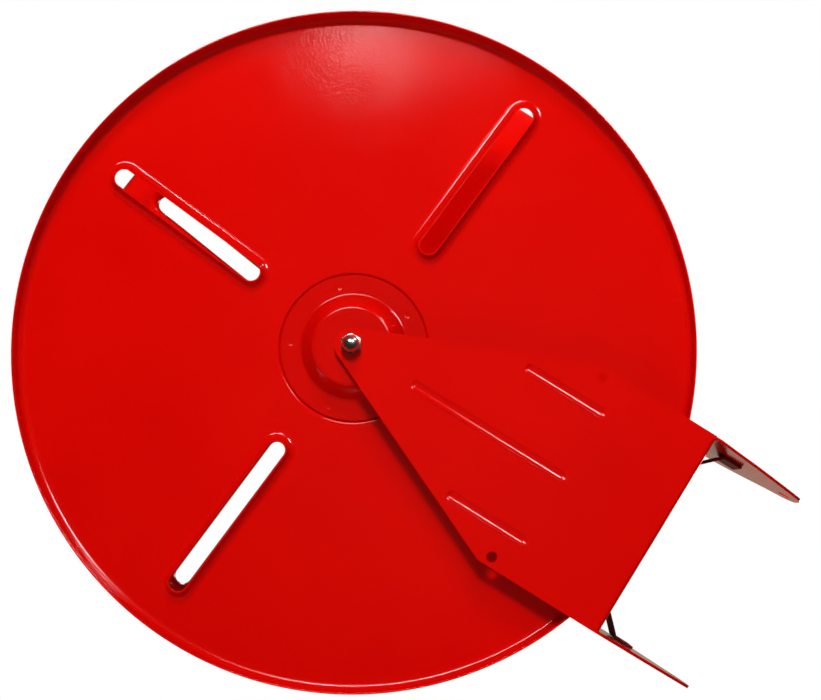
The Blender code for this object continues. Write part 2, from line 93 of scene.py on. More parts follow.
# Light and floor. The surroundings' strength in reflections rises from DARK_SIDE to BRIGHT_SIDE behind the
# reel, as a direction's y goes from BACKDROP_START to BACKDROP_FULL. The floor's reach and drop are in metres
AMBIENT = 0.06
DARK_SIDE = 0.02
BRIGHT_SIDE = 0.4
BACKDROP_START = 0.55
BACKDROP_FULL = 0.95
WARM_WHITE = (1, 0.8, 0.62, 1)
LAMP_AIM = (60, 20, 60)
FLOOR_REACH = 9.0
FLOOR_DROP = 3.0
FLOOR_GREY = 0.9
FLOOR_GLOW = 0.5

# Discs
DISC_SHEET = 1.5
LIP_DEPTH = 17.0
LIP_FILLET = 6.0
RECESS_RADIUS = 62.4
RECESS_DEPTH = 2.5
DISC_HOLE = 28.0
SLOT_HALF_WIDTH = 7.6
FLARE_BEND = 7.5
FLARE_SEAM = 1.0
SLOT_ENDS = (108.0, 244.5)
FRONT_SLOT_ANGLES = [4.5 + 90.0 * k for k in range(4)]
REAR_SLOT_ANGLES = [angle + 2.5 for angle in FRONT_SLOT_ANGLES]
LOWER_REAR_SLOT = ((-26.0, 113.2), (-37.8, 259.2))

# Hub plates
HUB_SHEET = 2.0
FRONT_HUB_HOLE = 11.3
REAR_HUB_HOLE = 16.8
HUB_RADIUS = 62.0
BOSS_BASE = 45.2
BOSS_TOP = 33.4
BOSS_FACE = -2.6
BOSS_BASE_BEND = 3.5
BOSS_TOP_BEND = 4.0
BOSS_BACK_BEND = 3.0
WELD_RADIUS = 53.5
WELD_ANGLES = [9.0 + 72.0 * k for k in range(5)]

# Bracket: (u, v) places on the arm, and radii of its holes
SHEET = 2.5
ARM_TIP_RADIUS = 14.5
SHOULDER = (181.9, 95.2)
SHOULDER_BEND = 2.5
FOLD = (296.4, 94.7)
FOLD_RELIEF = 2.9
ARM_HOLE = (190.6, 87.0)
ARM_HOLE_RADIUS = 4.4
SPINDLE_HOLE_RADIUS = 5.3
RIB_STARTS = [(136.4, -61.6), (63.6, 0.0), (136.4, 61.6)]
RIB_END = 204.5
RIB_SHOULDER = 3.1
RIB_BOTTOM = 6.2
RIB_LEAN = 31.0
BEND_MIDDLE = 2.25
CROSS_END = 148.0
PIVOT = (-AXLE.x / MM, -FRONT_LOW.y / MM)
PIVOT_HOLE_RADIUS = 5.5
BRACE_REACH = 21.5
BRACE_FOOT = 17.0
BRACE_DEPTHS = (57.0, 95.0)
BRACE_BEND = 4.0

# Core, water connections and nut
CORE_RADIUS = 97.5
CORE_SHEET = 1.5
CORE_FLANGE = 11.0
CORE_FOLD = 2.5
CORE_HOLE = 13.0
CORE_PATCH = 12
OUTLET_ANGLE = 49.0
OUTLET_DEPTH = 95.0
INLET_DEPTH = 236.0
NUT_APOTHEM = 8.0
NUT_HEIGHT = 8.0
NUT_TURN = -1.9
DOME_RADIUS = 7.2
DOME_NECK = 2.8


# Shapes

def polar(radius, angle):
    return radius * math.cos(math.radians(angle)), radius * math.sin(math.radians(angle))


def arc(centre, radius, start, end, steps):
    angles = [math.radians(start + (end - start) * i / steps) for i in range(steps + 1)]
    return [(centre[0] + radius * math.cos(a), centre[1] + radius * math.sin(a)) for a in angles]


def circle(radius, steps=ROUND_STEPS, centre=(0, 0)):
    return arc(centre, radius, 0, 360, steps)[:-1]


def capsule(near, far, half):
    """The outline of a slot or rib with round ends."""
    steps = 16
    angle = math.degrees(math.atan2(far[1] - near[1], far[0] - near[0]))
    return arc(near, half, angle + 90, angle + 270, steps) + arc(far, half, angle - 90, angle + 90, steps)


def corner(a, b, c, radius):
    """An arc that rounds the corner b between a and c."""
    steps = 5
    a, b, c = Vector(a), Vector(b), Vector(c)
    into, out = (b - a).normalized(), (c - b).normalized()
    turn = into.angle(out)
    reach = radius * math.tan(turn / 2)
    side = 1 if into.x * out.y - into.y * out.x > 0 else -1
    centre = b - into * reach + Vector((-into.y, into.x)) * radius * side
    first = b - into * reach - centre
    return [tuple(centre + Matrix.Rotation(side * turn * i / steps, 2) @ first) for i in range(steps + 1)]


def rounded(points, radii):
    """An open line of points whose inner corners are rounded."""
    line = [points[0]]
    for a, b, c, radius in zip(points, points[1:], points[2:], radii):
        line += corner(a, b, c, radius) if radius else [b]
    return line + [points[-1]]


class Skin:
    """A mesh under construction from loops of points."""

    def __init__(self):
        self.bm = bmesh.new()

    def loop(self, points, depth):
        return [self.bm.verts.new((x, y, depth)) for x, y in points]

    def points(self, points):
        return [self.bm.verts.new(p) for p in points]

    def bridge(self, one, two, closed=True):
        for i in range(len(one) if closed else len(one) - 1):
            j = (i + 1) % len(one)
            self.bm.faces.new((one[i], one[j], two[j], two[i]))

    def loft(self, loops, closed=True):
        for one, two in zip(loops, loops[1:]):
            self.bridge(one, two, closed)

    def fill(self, loops, normal=(0, 0, 1)):
        """Fills the flat region between an outer loop and the loops inside it."""
        edges = []
        for loop in loops:
            for one, two in zip(loop, loop[1:] + loop[:1]):
                edges.append(self.bm.edges.get((one, two)) or self.bm.edges.new((one, two)))
        bmesh.ops.triangle_fill(self.bm, use_beauty=True, use_dissolve=False, edges=edges, normal=normal)

    def finish(self, name, material, body, replaces, matrix=None, sharp=40):
        bmesh.ops.recalc_face_normals(self.bm, faces=self.bm.faces)
        mesh = bpy.data.meshes.new(name)
        self.bm.to_mesh(mesh)
        self.bm.free()
        mesh.transform(REEL if matrix is None else REEL @ matrix)
        mesh.shade_smooth()
        mesh.set_sharp_from_angle(angle=math.radians(sharp))
        mesh.materials.append(material)
        piece = bpy.data.objects.new(name, mesh)
        bpy.context.scene.collection.objects.link(piece)
        modifier(piece, "flats", "WEIGHTED_NORMAL", keep_sharp=True, weight=90)
        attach(piece, body)
        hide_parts(*replaces)
        return piece


def turned_loops(skin, profile, steps=ROUND_STEPS):
    """Loops round the axle for a profile of (radius, depth)."""
    return [skin.loop(circle(radius, steps), depth) for radius, depth in profile]


def modifier(piece, name, kind, **settings):
    made = piece.modifiers.new(name, kind)
    for key, value in settings.items():
        setattr(made, key, value)


def thicken(piece, rounding, segments):
    """Makes folded sheet of a middle surface, with its cut edges rounded."""
    piece.modifiers.clear()
    modifier(piece, "sheet", "SOLIDIFY", thickness=SHEET * MM, offset=0, use_even_offset=True)
    modifier(piece, "edges", "BEVEL", width=rounding * MM, segments=segments, limit_method="ANGLE",
             angle_limit=math.radians(60))
    modifier(piece, "flats", "WEIGHTED_NORMAL", keep_sharp=False, weight=90)


# Materials: noise scales are repeats per metre, and bump heights are in metres

COAT_DARK, COAT_LIGHT = (0.57, 0.0008, 0.0), (0.61, 0.0014, 0.0)
COAT_SHADE_SCALE = 9
COAT_HAZE_SCALE = 60
PEEL_SCALE, PEEL_HEIGHT = 560, 0.00006
WAVE_SCALE, WAVE_HEIGHT = 14, 0.0004
SPOT_SCALE = 45
POLISH_SCALE = 120
GRAIN_SCALE, GRAIN_HEIGHT = 700, 0.00001


def shader(name, colour, roughness, metallic=0.0, **sockets):
    made = bpy.data.materials.new(name)
    made.use_nodes = True
    made.diffuse_color = (*colour, 1)
    node = made.node_tree.nodes["Principled BSDF"]
    node.inputs["Base Color"].default_value = (*colour, 1)
    node.inputs["Roughness"].default_value = roughness
    node.inputs["Metallic"].default_value = metallic
    for key, value in sockets.items():
        node.inputs[key.replace("_", " ")].default_value = value
    return made


def noise(tree, scale, detail, roughness=0.5):
    """A noise texture in the object's own metres."""
    place = tree.nodes.new("ShaderNodeTexCoord")
    made = tree.nodes.new("ShaderNodeTexNoise")
    made.inputs["Scale"].default_value = scale
    made.inputs["Detail"].default_value = detail
    made.inputs["Roughness"].default_value = roughness
    tree.links.new(place.outputs["Object"], made.inputs["Vector"])
    return made.outputs["Fac"]


def ramp(tree, source, stops):
    made = tree.nodes.new("ShaderNodeValToRGB")
    for element, (position, colour) in zip(made.color_ramp.elements, stops):
        element.position = position
        element.color = (*colour, 1)
    tree.links.new(source, made.inputs["Fac"])
    return made.outputs["Color"]


def spread(tree, source, low, high):
    made = tree.nodes.new("ShaderNodeMapRange")
    made.inputs["To Min"].default_value = low
    made.inputs["To Max"].default_value = high
    tree.links.new(source, made.inputs["Value"])
    return made.outputs["Result"]


def bumps(tree, layers):
    """Chained bumps from (height, distance in metres), the last of which feeds the shader."""
    node = tree.nodes["Principled BSDF"]
    previous = None
    for height, distance in layers:
        made = tree.nodes.new("ShaderNodeBump")
        made.inputs["Strength"].default_value = 1.0
        made.inputs["Distance"].default_value = distance
        tree.links.new(height, made.inputs["Height"])
        if previous:
            tree.links.new(previous, made.inputs["Normal"])
        previous = made.outputs["Normal"]
    tree.links.new(previous, node.inputs["Normal"])


def powder_coat(name, shade, roughness, specular=0.5):
    """Gloss red powder coat: an orange peel of about 2 mm over a faint waviness of the pressed sheet."""
    dark, light = (tuple(c * shade for c in colour) for colour in (COAT_DARK, COAT_LIGHT))
    made = shader(name, light, roughness, Specular_IOR_Level=specular)
    tree = made.node_tree
    node = tree.nodes["Principled BSDF"]
    colour = ramp(tree, noise(tree, COAT_SHADE_SCALE, 3), [(0.3, dark), (0.7, light)])
    tree.links.new(colour, node.inputs["Base Color"])
    rough = spread(tree, noise(tree, COAT_HAZE_SCALE, 4), roughness * 0.85, roughness * 1.2)
    tree.links.new(rough, node.inputs["Roughness"])
    bumps(tree, [(noise(tree, WAVE_SCALE, 1), WAVE_HEIGHT), (noise(tree, PEEL_SCALE, 1), PEEL_HEIGHT)])
    return made


def metal(name, colour, roughness, depth=GRAIN_HEIGHT, metallic=1.0, spot=0.9):
    """A metal or plain material whose colour, roughness and surface vary finely."""
    made = shader(name, colour, roughness, metallic)
    tree = made.node_tree
    node = tree.nodes["Principled BSDF"]
    dark = tuple(c * spot for c in colour)
    mottle = ramp(tree, noise(tree, SPOT_SCALE, 4), [(0.35, dark), (0.65, colour)])
    tree.links.new(mottle, node.inputs["Base Color"])
    rough = spread(tree, noise(tree, POLISH_SCALE, 3), roughness * 0.8, roughness * 1.25)
    tree.links.new(rough, node.inputs["Roughness"])
    bumps(tree, [(noise(tree, GRAIN_SCALE, 3, 0.6), depth)])
    return made


RED = powder_coat("red_powder_coat", 1.0, 0.1)
HUB_RED = powder_coat("red_powder_coat_hub", 0.9, 0.12)
# The braces' red powder coat darkened to a quarter: painted shade for the shadow that the braces lie in
SHADED_RED = powder_coat("red_powder_coat_painted_shade", 0.25, 0.6, 0.2)
STAINLESS = metal("stainless", (0.72, 0.70, 0.66), 0.28, depth=0.000004)
ZINC = metal("zinc_steel", (0.62, 0.63, 0.65), 0.32)
BRASS = metal("brass", (0.78, 0.56, 0.24), 0.26, depth=0.00002)
NYLON = metal("nylon", (0.78, 0.76, 0.68), 0.45, metallic=0.0, spot=0.96)
FIBRE = metal("fibre", (0.32, 0.11, 0.06), 0.8, metallic=0.0, depth=0.00004)
RUBBER = metal("rubber", (0.02, 0.02, 0.021), 0.55, metallic=0.0, depth=0.00002)


# Drum

def side_depth(side):
    """Turns a depth behind the front rim into the same depth before the rear rim."""
    return (lambda w: w) if side == FRONT else (lambda w: DRUM_WIDTH - w)


def flare_profile():
    """(distance from the slot's edge, depth) over a slot's flared lip, from the web's face to its back."""
    back_bend = FLARE_BEND + DISC_SHEET
    crest = LIP_DEPTH - FLARE_BEND
    seam = back_bend + FLARE_SEAM
    front = [(back_bend - FLARE_BEND * math.sin(a), crest + FLARE_BEND * math.cos(a))
             for a in [math.radians(84) * i / 9 for i in range(10)]]
    back = [(back_bend - back_bend * math.sin(a), crest + back_bend * math.cos(a))
            for a in [math.radians(86) * i / 9 for i in range(9, -1, -1)]]
    edge = [(DISC_SHEET - 0.05, crest), (0.05, crest)]
    return [(seam, LIP_DEPTH)] + front + edge + back + [(seam, LIP_DEPTH + DISC_SHEET)]


def rim_profile():
    """(radius, depth) from the web's face round the lip to the web's back."""
    web, back = LIP_DEPTH, LIP_DEPTH + DISC_SHEET
    wall = DISC_RADIUS - DISC_SHEET
    fillet = arc((wall - LIP_FILLET, web - LIP_FILLET), LIP_FILLET, 90, 0, 8)
    heel_radius = LIP_FILLET + DISC_SHEET
    heel = arc((DISC_RADIUS - heel_radius, back - heel_radius), heel_radius, 0, 90, 8)
    edge = [(wall, 0.8), (wall + 0.1, 0.35), (wall + 0.4, 0.05), (DISC_RADIUS - 0.4, 0.05),
            (DISC_RADIUS - 0.1, 0.35), (DISC_RADIUS, 0.8)]
    return [(wall - LIP_FILLET - 1, web)] + fillet + edge + heel + [(DISC_RADIUS - heel_radius - 1, back)]


def recess_profile():
    """(radius, depth) from the web's back inward, round the hole's edge and out again over the face."""
    web, back = LIP_DEPTH, LIP_DEPTH + DISC_SHEET
    seat = web + RECESS_DEPTH
    under = seat + DISC_SHEET
    return [
        (RECESS_RADIUS + 5, back), (RECESS_RADIUS + 3.6, back), (RECESS_RADIUS + 2.6, back + 0.4),
        (RECESS_RADIUS + 1.6, under - 0.5), (RECESS_RADIUS + 0.6, under), (DISC_HOLE + 0.4, under),
        (DISC_HOLE, under - 0.4), (DISC_HOLE, seat + 0.4), (DISC_HOLE + 0.4, seat),
        (RECESS_RADIUS - 0.4, seat), (RECESS_RADIUS + 0.3, seat - 0.4), (RECESS_RADIUS + 1.1, web + 0.5),
        (RECESS_RADIUS + 1.9, web + 0.1), (RECESS_RADIUS + 2.6, web), (RECESS_RADIUS + 4, web),
    ]


def pressed_disc(side, slots):
    depth = side_depth(side)
    skin = Skin()
    rim = turned_loops(skin, [(r, depth(w)) for r, w in rim_profile()], RIM_STEPS)
    recess = turned_loops(skin, [(r, depth(w)) for r, w in recess_profile()])
    skin.loft(rim)
    skin.loft(recess)
    faces, backs = [rim[0], recess[-1]], [rim[-1], recess[0]]
    for near, far in slots:
        flare = [skin.loop(capsule(near, far, SLOT_HALF_WIDTH + reach), depth(w))
                 for reach, w in flare_profile()]
        skin.loft(flare)
        faces.append(flare[0])
        backs.append(flare[-1])
    skin.fill(faces)
    skin.fill(backs)
    skin.finish(f"{side}_disc_pressing", RED, "drum", [f"{side}_disc"], sharp=50)


def weld_profile():
    """(radius, depth below the face) over one spot weld's dimple."""
    return [(3.2, 0), (2.9, 0), (2.5, 0.03), (2.2, 0.16), (1.9, 0.2), (1.0, 0.2)]


def hub_plate(side, hole):
    depth = side_depth(side)
    base = LIP_DEPTH + RECESS_DEPTH - GAP
    face = base - HUB_SHEET
    boss = rounded(
        [(BOSS_BASE + 4, face), (BOSS_BASE - 0.6, face), (BOSS_TOP, BOSS_FACE), (hole + 0.4, BOSS_FACE),
         (hole, BOSS_FACE + 0.4), (hole, BOSS_FACE + HUB_SHEET - 0.4), (hole + 0.4, BOSS_FACE + HUB_SHEET),
         (BOSS_TOP - 1.2, BOSS_FACE + HUB_SHEET), (BOSS_BASE - 2.2, base), (HUB_RADIUS - 0.2, base),
         (HUB_RADIUS, base - 0.2), (HUB_RADIUS, face + 0.1), (HUB_RADIUS - 0.1, face),
         (HUB_RADIUS - 2, face)],
        [BOSS_BASE_BEND, BOSS_TOP_BEND, 0, 0, 0, 0, BOSS_BACK_BEND, BOSS_BACK_BEND, 0, 0, 0, 0],
    )
    skin = Skin()
    loops = turned_loops(skin, [(r, depth(w)) for r, w in boss])
    skin.loft(loops)
    region = [loops[-1], loops[0]]
    for angle in WELD_ANGLES:
        centre = polar(WELD_RADIUS, angle)
        dimple = [skin.loop(circle(r, 24, centre), depth(face + w)) for r, w in weld_profile()]
        skin.loft(dimple)
        skin.bm.faces.new(dimple[-1])
        region.append(dimple[0])
    skin.fill(region)
    skin.finish(f"{side}_hub_pressing", HUB_RED, "drum", [f"{side}_hub_plate"], sharp=50)


# Bracket

def arm_outline(end, relief):
    """The arm's outline from the fold line round its tip, with the fold line's ends at (end, +-relief)."""
    reach = math.hypot(*SHOULDER)
    lean = math.degrees(math.atan2(SHOULDER[1], SHOULDER[0]) + math.acos(ARM_TIP_RADIUS / reach))
    tip = arc((0, 0), ARM_TIP_RADIUS, lean, 360 - lean, 40)
    before = polar(ARM_TIP_RADIUS, lean)
    shoulder = corner(before, SHOULDER, (end, FOLD[1]), SHOULDER_BEND)[::-1]
    half = [(end, relief), (end + FOLD_RELIEF, relief + 0.5), (end + FOLD_RELIEF, FOLD[1])] + shoulder
    return half + tip + [(u, -v) for u, v in half[::-1]]


def lug_outline(start, low):
    """A lug's outline as (u, depth), from the fold's near end round the pivot hole to its far end."""
    fold = FOLD[0]
    near = [(fold + 5.5, low), (fold + 22, 4.6), (fold + 44, 17.5), (fold + 66, 33.5)]
    end = arc((375.5, 69.3), 20, -50, 0, 12) + arc((369.5, 82), 26, 0, 50, 14)
    far = [(fold + 76, 110.5), (fold + 58, 126), (fold + 42, 138), (fold + 30, 145), (fold + 16, CROSS_END)]
    return [(start, low)] + near + end + far + [(start, CROSS_END)]


def rib_profile():
    """(distance from a rib's middle line, depth behind the arm's face) of the middle surface of one flank."""
    lean = math.radians(RIB_LEAN)
    shoulder, bottom = RIB_SHOULDER - SHEET / 2, RIB_BOTTOM + SHEET / 2
    middle = RIB_SHOULDER - (RIB_SHOULDER + RIB_BOTTOM) * math.cos(lean)
    half = (RIB_SHOULDER + RIB_BOTTOM) * math.sin(lean)
    turns = [lean * i / 7 for i in range(8)]
    over = [(half - shoulder * math.sin(a), RIB_SHOULDER - shoulder * math.cos(a)) for a in turns]
    under = [(bottom * math.sin(a), middle + bottom * math.cos(a)) for a in turns[:0:-1]]
    return [(half + 1, SHEET / 2)] + over + under


def swing_bracket():
    """The folded sheet: its middle surface is drawn, then thickened and its cut edges rounded."""
    skin = Skin()
    front = ARM_FRONT + SHEET / 2
    cross, side = FOLD[0] - SHEET / 2, FOLD[1] - SHEET / 2
    edge, low = side - BEND_MIDDLE, front + BEND_MIDDLE
    outline = skin.loop(arm_outline(cross - BEND_MIDDLE, edge), front)
    fold_line = [outline[-1], outline[0]]
    region = [outline]
    u, v = ARM_HOLE
    holes = [((0, 0), SPINDLE_HOLE_RADIUS), ((u, v), ARM_HOLE_RADIUS), ((u, -v), ARM_HOLE_RADIUS)]
    for centre, radius in holes:
        region.append(skin.loop(circle(radius, 40, centre), front))
    for start in RIB_STARTS:
        groove = [skin.loop(capsule(start, (RIB_END, start[1]), reach), ARM_FRONT + w)
                  for reach, w in rib_profile()]
        skin.loft(groove)
        skin.bm.faces.new(groove[-1])
        region.append(groove[0])
    skin.fill(region)

    bend = arc((cross - BEND_MIDDLE, low), BEND_MIDDLE, -90, 0, 8)[1:]
    rows = [fold_line]
    rows += [skin.points([(u, -edge, w), (u, edge, w)]) for u, w in bend + [(cross, CROSS_END)]]
    skin.loft(rows, closed=False)
    low_row, end_row = rows[-2], rows[-1]
    for sign in (1, -1):
        column = [low_row[sign > 0], end_row[sign > 0]]
        turn = arc((cross + BEND_MIDDLE, edge), BEND_MIDDLE, 180, 90, 8)[1:]
        columns = [column] + [skin.points([(u, sign * v, low), (u, sign * v, CROSS_END)]) for u, v in turn]
        skin.loft(columns, closed=False)
        near, far = columns[-1]
        outline = lug_outline(turn[-1][0], low)[1:-1]
        lug = [near] + skin.points([(u, sign * side, w) for u, w in outline]) + [far]
        hole = skin.points([(u, sign * side, w) for u, w in circle(PIVOT_HOLE_RADIUS, 48, PIVOT)])
        skin.fill([lug, hole], (0, 1, 0))
    thicken(skin.finish("swing_bracket_pressing", RED, "bracket", ["swing_bracket"], sharp=50),
            rounding=0.8, segments=4)


def brace(name, sign):
    """A strap bent at 45 degrees between a lug and the cross plate."""
    middle = SHEET / 2
    face = FOLD[1] - SHEET - GAP - middle
    start = FOLD[0] + GAP + middle
    far, low = start + BRACE_REACH, face - BRACE_REACH
    line = [(far + BRACE_FOOT, face), (far, face), (start, low), (start, low - BRACE_FOOT)]
    near_edge, far_edge = BRACE_DEPTHS
    skin = Skin()
    rows = [skin.points([(u, sign * v, near_edge), (u, sign * v, far_edge)])
            for u, v in rounded(line, [BRACE_BEND, BRACE_BEND])]
    skin.loft(rows, closed=False)
    # The strap's red is darkened to a quarter as painted shade
    thicken(skin.finish(f"{name}_strap", SHADED_RED, "bracket", [name]), rounding=0.4, segments=3)


def hexagon(apothem, limit, turn=0.0):
    """The radius at each angle of a hexagon whose corners are cut off by a circle."""
    return lambda angle: min(limit, apothem / math.cos(math.radians((angle - turn) % 60 - 30)))


def dome_nut():
    """A hexagon with chamfered corners under a round cap."""
    steps = 96
    base = ARM_FRONT - GAP
    flats = base - NUT_HEIGHT
    chamfer = [(7.9 + 1.5 * i / 8, flats + 0.12 + 0.75 * (i / 8) ** 1.5) for i in range(8, -1, -1)]
    skin = Skin()
    loops = []
    for limit, depth in [(7.9, base), (9.0, base - 0.1), (9.4, base - 0.5), *chamfer, (7.75, flats)]:
        radius = hexagon(NUT_APOTHEM, limit, NUT_TURN)
        angles = [360 * i / steps for i in range(steps)]
        loops.append(skin.loop([polar(radius(angle), angle) for angle in angles], depth))
    neck = flats - DOME_NECK
    dome = [(7.3, flats - 0.15), (7.15, flats - 0.6), (DOME_RADIUS, neck)]
    for angle in range(8, 90, 8):
        radius, rise = polar(DOME_RADIUS, angle)
        dome.append((radius, neck - rise))
    loops += turned_loops(skin, dome, steps)
    skin.loft(loops)
    skin.bm.faces.new(loops[0])
    skin.bm.faces.new(loops[-1])
    skin.finish("dome_nut_polished", STAINLESS, "bracket", ["dome_nut"], sharp=28)


# Core and water connections

def drum_core():
    """The rolled core with its inward end flanges and the hole that the water outlet's grommet lines."""
    low = LIP_DEPTH + DISC_SHEET + GAP
    high = DRUM_WIDTH - low
    sheet, fold, lip = CORE_SHEET, CORE_FOLD, CORE_RADIUS - CORE_FLANGE
    patch = CORE_PATCH
    pitch = 2 * math.pi * CORE_RADIUS / ROUND_STEPS
    first = round(OUTLET_ANGLE * ROUND_STEPS / 360) - patch // 2
    rows = [OUTLET_DEPTH + pitch * (j - patch / 2) for j in range(patch + 1)]
    skin = Skin()

    def wall(radius, start, end):
        """One face of the wall, with a square patch taken out and filled in round the outlet's hole."""
        depths = [start] + rows + [end]
        loops = [skin.loop(circle(radius), depth) for depth in depths]
        for j, (one, two) in enumerate(zip(loops, loops[1:])):
            for i in range(ROUND_STEPS):
                if 0 < j <= patch and (i - first) % ROUND_STEPS < patch:
                    continue
                k = (i + 1) % ROUND_STEPS
                skin.bm.faces.new((one[i], one[k], two[k], two[i]))
        inner = loops[1:-1]
        spare = [loop[first + i] for loop in inner[1:-1] for i in range(1, patch)]
        bmesh.ops.delete(skin.bm, geom=spare, context="VERTS")
        edge = [inner[0][first + i] for i in range(patch)]
        edge += [inner[i][first + patch] for i in range(patch)]
        edge += [inner[-1][first + patch - i] for i in range(patch)]
        edge += [inner[patch - i][first] for i in range(patch)]
        ring = []
        for i in range(4 * patch):
            side, along = divmod(i, patch)
            angle = math.radians(-135 + 90 * (side + along / patch))
            across, along_axle = CORE_HOLE * math.cos(angle), CORE_HOLE * math.sin(angle)
            turn = OUTLET_ANGLE + math.degrees(across / radius)
            ring.append(skin.bm.verts.new((*polar(radius, turn), OUTLET_DEPTH + along_axle)))
        skin.bridge(edge, ring)
        return loops[0], loops[-1], ring

    outer_low, outer_high, outer_ring = wall(CORE_RADIUS, low + fold, high - fold)
    inner_low, inner_high, inner_ring = wall(CORE_RADIUS - sheet, low + fold, high - fold)
    skin.bridge(outer_ring, inner_ring)
    for outer, inner, flip in ((outer_low, inner_low, 1), (outer_high, inner_high, -1)):
        face = low if flip > 0 else high
        bend = arc((CORE_RADIUS - fold, 0), fold, 0, 90, 5)[1:]
        back = arc((CORE_RADIUS - fold, 0), fold - sheet, 90, 0, 5)[:-1]
        edge = [(lip + 0.3, fold), (lip, fold - 0.3), (lip, fold - sheet + 0.3), (lip + 0.3, fold - sheet)]
        loops = [skin.loop(circle(r), face + flip * (fold - w)) for r, w in bend + edge + back]
        skin.loft([outer] + loops + [inner])
    skin.finish("drum_core_rolled", RED, "drum", ["drum_core"], sharp=50)


def bent_line(start, turn):
    """A centreline: straight along Z for `start`, a quarter turn of radius `turn`, then straight along X.

    It is a function from the distance along the line to a matrix whose Z runs along the line there.
    """
    quarter = turn * math.pi / 2

    def at(s):
        if s <= start:
            return Matrix.Translation((0, 0, s))
        angle = min((s - start) / turn, math.pi / 2)
        place = Matrix.Translation((turn - turn * math.cos(angle), 0, start + turn * math.sin(angle)))
        rest = Matrix.Translation((0, 0, max(0.0, s - start - quarter)))
        return place @ Matrix.Rotation(angle, 4, "Y") @ rest

    return at


def swept(name, line, sections, replaces, matrix, body, steps):
    """A closed brass casting lofted along a line: out along its outside and back through its bore.

    A section is a distance along the line with a radius, or with a function from the angle to the radius.
    """
    skin = Skin()
    loops = []
    for s, radius in sections:
        place = line(s)
        loop = []
        for i in range(steps):
            angle = 360 * i / steps
            reach = radius(angle) if callable(radius) else radius
            loop.append(skin.bm.verts.new(place @ Vector((*polar(reach, angle), 0))))
        loops.append(loop)
    skin.loft(loops)
    skin.bridge(loops[-1], loops[0])
    skin.finish(name, BRASS, body, replaces, matrix)


def thread(s, crest, depth, pitch):
    """The radius at each angle of a pipe thread's loop at distance s along it."""
    def radius(angle):
        phase = (s / pitch - angle / 360) % 1
        return crest - depth * min(1, max(0, abs(2 * phase - 1) * 1.5 - 0.25))
    return radius


def inlet_elbow():
    """From the spindle's rear end back and down: a hexagon collar, then a pipe thread for the supply."""
    start, bend, drop, flats = 206.2, 14.0, 58.0, 18.0
    straight, quarter = INLET_DEPTH - bend - start, bend * math.pi / 2
    leg = straight + quarter - bend
    outside = [(0, 16.6), (0.3, 17.1), (0.9, 17.5), (straight, 17.4)]
    outside += [(straight + quarter * i / 10, 17.4 - 0.1 * i) for i in range(1, 11)]
    outside += [(leg + 30.5, 16.0), (leg + 31.6, 16.4), (leg + 32, 17.2)]
    collar = [(32.1, 18.3), (32.8, 19.6), (33.8, 20.8), (40.2, 20.8), (41.2, 19.6), (41.9, 18.3)]
    outside += [(leg + along, hexagon(flats, limit)) for along, limit in collar]
    outside += [(leg + 42, 17.0), (leg + 42.1, 15.4), (leg + 43, 15.3)]
    turns = [leg + 43.2 + 0.3 * i for i in range(46)]
    outside += [(s, thread(s, crest=16.6, depth=1.2, pitch=1.81)) for s in turns]
    outside += [(leg + drop - 0.7, 15.4), (leg + drop, 14.8)]
    inside = [(leg + drop, 11.1), (leg + drop - 0.6, 10.5)]
    inside += [(straight + quarter * i / 8, 10.5 - 0.15 * (8 - i)) for i in range(8, -1, -1)]
    inside += [(17.4, 9.2), (17.3, 13.5), (0.5, 13.5), (0, 14.0)]
    place = Matrix.Translation((0, 0, start)) @ Matrix.Rotation(math.pi / 2, 4, "Z")
    line = bent_line(straight, bend)
    swept("inlet_elbow_cast", line, outside + inside, ["inlet_elbow"], place, "bracket", 72)


def hose_tail_elbow():
    """From the core's wall outwards and round along it: a hexagon collar, then a barbed tail for the hose."""
    start, corner_at, bend, reach, flats = 100.4, 113.0, 9.0, 54.0, 10.9
    straight, quarter = corner_at - bend - start, bend * math.pi / 2
    tail = straight + quarter - bend
    outside = [(0, 11.8), (0.6, 12.4), (straight, 12.4)]
    outside += [(straight + quarter * i / 8, 12.4 - 0.19 * i) for i in range(1, 9)]
    outside += [(tail + 15.4, 10.7), (tail + 15.9, 11.1)]
    collar = [(16, 11.6), (16.8, 12.6), (19.2, 12.6), (20, 11.6)]
    outside += [(tail + along, hexagon(flats, limit)) for along, limit in collar]
    outside += [(tail + 20.1, 9.6), (tail + 21, 9.4), (tail + 26, 9.4)]
    for barb in (34, 43):
        outside += [(tail + barb - 0.5, 10.4), (tail + barb, 10.3), (tail + barb + 0.5, 9.4)]
    outside += [(tail + reach - 0.6, 8.9), (tail + reach, 8.4)]
    inside = [(tail + reach, 7.0), (tail + reach - 0.5, 6.5), (straight + quarter, 6.5), (straight + 4, 6.2)]
    inside += [(7.9, 6.1), (7.8, 9.1), (0.4, 9.1), (0, 9.5)]
    outwards = Matrix(((0, 0, 1, 0), (1, 0, 0, 0), (0, 1, 0, 0), (0, 0, 0, 1)))
    turn = Matrix.Rotation(math.radians(OUTLET_ANGLE), 4, "Z")
    place = turn @ Matrix.Translation((start, 0, OUTLET_DEPTH)) @ outwards
    line = bent_line(straight, bend)
    swept("hose_tail_elbow_cast", line, outside + inside, ["hose_tail_elbow"], place, "drum", 64)


front_slots = [tuple(polar(r, angle) for r in SLOT_ENDS) for angle in FRONT_SLOT_ANGLES]
rear_slots = [tuple(polar(r, angle) for r in SLOT_ENDS) for angle in REAR_SLOT_ANGLES]
rear_slots[1] = LOWER_REAR_SLOT

drum_core()
inlet_elbow()
hose_tail_elbow()
dome_nut()
pressed_disc(FRONT, front_slots)
pressed_disc(REAR, rear_slots)
hub_plate(FRONT, FRONT_HUB_HOLE)
hub_plate(REAR, REAR_HUB_HOLE)
swing_bracket()
brace("upper_brace", -1)
brace("lower_brace", 1)

